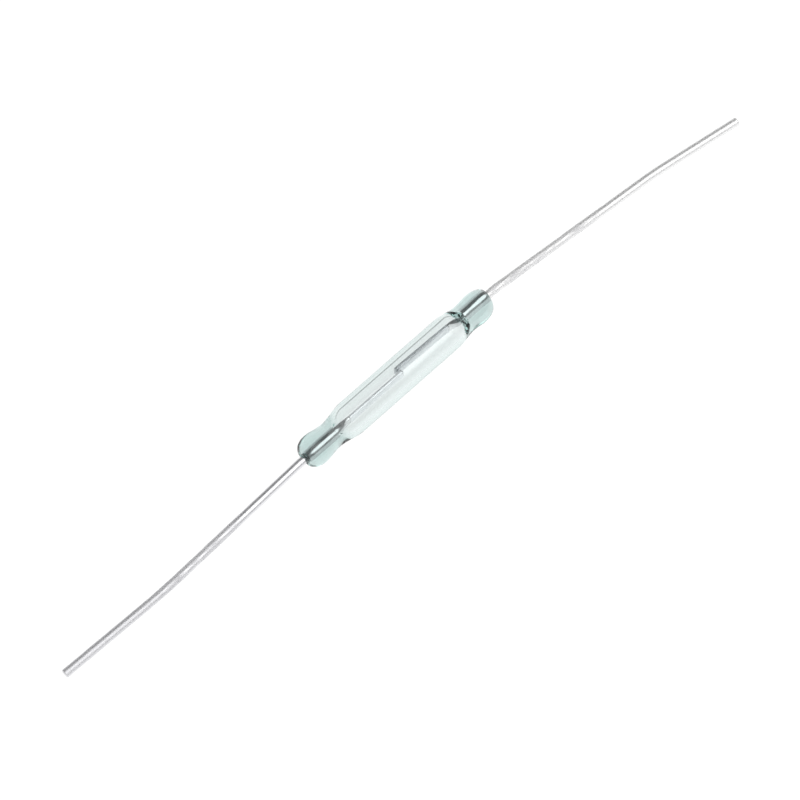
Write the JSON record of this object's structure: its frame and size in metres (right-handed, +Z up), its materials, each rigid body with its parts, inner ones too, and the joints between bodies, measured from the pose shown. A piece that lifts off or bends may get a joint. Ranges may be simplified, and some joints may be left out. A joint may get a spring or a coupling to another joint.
{
  "type": "glass reed switch",
  "caption": "Sealed glass tube with two flat spring reeds that overlap inside and close in a magnetic field, and a long round wire lead fused into each end.",
  "frame": {"origin": "middle of the glass on its axis", "axes": "+X along the glass towards the right lead, +Z up along the width of the blades, so that the contacts close along Y"},
  "size_m": [0.0487, 0.0031, 0.002],
  "materials": {
    "green_glass": "clear blue-green glass, fire polished",
    "tinned_wire": "bright tinned wire, slightly mottled",
    "reed_metal": "satin nickel-iron with plated contact ends"
  },
  "bodies": {
    "capsule": {"glass_envelope": "green_glass", "left_lead": "tinned_wire", "right_lead": "tinned_wire"},
    "left_blade": {"left_reed": "reed_metal"},
    "right_blade": {"right_reed": "reed_metal"}
  },
  "joints": [
    {"name": "left_flex", "type": "hinge", "parent": "capsule", "child": "left_blade", "pos_m": [-0.00356, -0.00003, 0], "axis": [0, 0, 1], "range_deg": [0, 0.78], "stiffness_Nm_per_rad": 0.05},
    {"name": "right_flex", "type": "hinge", "parent": "capsule", "child": "right_blade", "pos_m": [0.00398, 0.0002, 0], "axis": [0, 0, 1], "range_deg": [0, 0.78], "stiffness_Nm_per_rad": 0.05}
  ]
}
